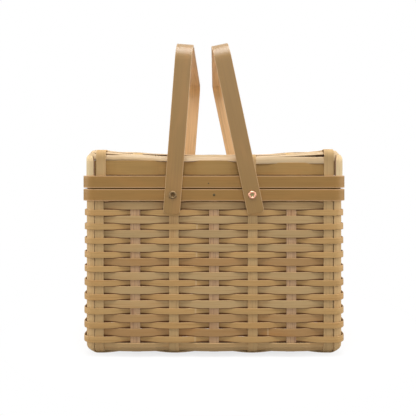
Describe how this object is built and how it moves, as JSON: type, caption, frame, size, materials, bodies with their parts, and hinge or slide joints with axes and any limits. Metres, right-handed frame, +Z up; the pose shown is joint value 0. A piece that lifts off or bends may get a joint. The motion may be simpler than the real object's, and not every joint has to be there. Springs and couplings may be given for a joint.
{
  "type": "lidded splint basket",
  "caption": "Square woven splint basket with straight sides, a shallow woven lid that lifts off, rim bands and two bent bamboo handles that swing on rivets.",
  "frame": {"origin": "on the floor plane under the middle of the basket", "axes": "+Z up, -Y is the front with one end of each handle, +X to the right seen from the front; both handle joints turn about lines along Y"},
  "size_m": [0.3174, 0.3274, 0.379],
  "materials": {
    "stake_splint": "flat bamboo splint, dry and faintly fibrous, satin",
    "wide_weaver_splint": "straw-coloured bamboo splint, light varnish",
    "narrow_weaver_splint": "straw-coloured bamboo splint with nodes, light varnish",
    "lid_splint": "paler bamboo splint, light varnish",
    "rim_bamboo": "olive-brown bamboo skin with pale arrises, satin varnish",
    "handle_bamboo": "olive-brown bent bamboo with orange inner face, satin varnish",
    "antique_brass": "darkened brass",
    "copper": "copper-coloured, polished"
  },
  "bodies": {
    "basket": {"front_stake_1": "stake_splint", "front_stake_2": "stake_splint", "front_stake_3": "stake_splint", "front_stake_4": "stake_splint", "front_stake_5": "stake_splint", "front_stake_6": "stake_splint", "front_stake_7": "stake_splint", "side_stake_1": "stake_splint", "side_stake_2": "stake_splint", "side_stake_3": "stake_splint", "side_stake_4": "stake_splint", "side_stake_5": "stake_splint", "side_stake_6": "stake_splint", "side_stake_7": "stake_splint", "wide_weaver_01": "wide_weaver_splint", "wide_weaver_02": "wide_weaver_splint", "wide_weaver_03": "wide_weaver_splint", "wide_weaver_04": "wide_weaver_splint", "wide_weaver_05": "wide_weaver_splint", "wide_weaver_06": "wide_weaver_splint", "wide_weaver_07": "wide_weaver_splint", "wide_weaver_08": "wide_weaver_splint", "wide_weaver_09": "wide_weaver_splint", "wide_weaver_10": "wide_weaver_splint", "narrow_weaver_01": "narrow_weaver_splint", "narrow_weaver_02": "narrow_weaver_splint", "narrow_weaver_03": "narrow_weaver_splint", "narrow_weaver_04": "narrow_weaver_splint", "narrow_weaver_05": "narrow_weaver_splint", "narrow_weaver_06": "narrow_weaver_splint", "narrow_weaver_07": "narrow_weaver_splint", "narrow_weaver_08": "narrow_weaver_splint", "narrow_weaver_09": "narrow_weaver_splint", "narrow_weaver_10": "narrow_weaver_splint", "base_edge_weaver": "wide_weaver_splint", "base_filler_1": "wide_weaver_splint", "base_filler_2": "wide_weaver_splint", "base_filler_3": "wide_weaver_splint", "base_filler_4": "wide_weaver_splint", "base_filler_5": "wide_weaver_splint", "base_filler_6": "wide_weaver_splint", "body_outer_band": "rim_bamboo", "body_inner_band": "rim_bamboo", "left_front_rivet": "antique_brass", "left_back_rivet": "antique_brass", "right_front_rivet": "copper", "right_back_rivet": "copper"},
    "lid": {"lid_frame": "lid_splint", "lid_outer_band": "rim_bamboo", "lid_side_weaver": "lid_splint", "lid_shoulder_weaver": "lid_splint", "lid_filler_1": "lid_splint", "lid_filler_2": "lid_splint", "lid_filler_3": "lid_splint", "lid_filler_4": "lid_splint", "lid_filler_5": "lid_splint", "lid_filler_6": "lid_splint"},
    "left_bail": {"left_handle": "handle_bamboo"},
    "right_bail": {"right_handle": "handle_bamboo"}
  },
  "joints": [
    {"name": "lid_lift", "type": "slide", "parent": "basket", "child": "lid", "axis": [0, 0, 1], "range_m": [0, 0.065]},
    {"name": "left_handle_swing", "type": "hinge", "parent": "basket", "child": "left_bail", "pos_m": [-0.0487, 0, 0.194], "axis": [0, -1, 0], "range_deg": [-5.8, 142.6]},
    {"name": "right_handle_swing", "type": "hinge", "parent": "basket", "child": "right_bail", "pos_m": [0.0452, 0, 0.194], "axis": [0, 1, 0], "range_deg": [0, 149]}
  ]
}
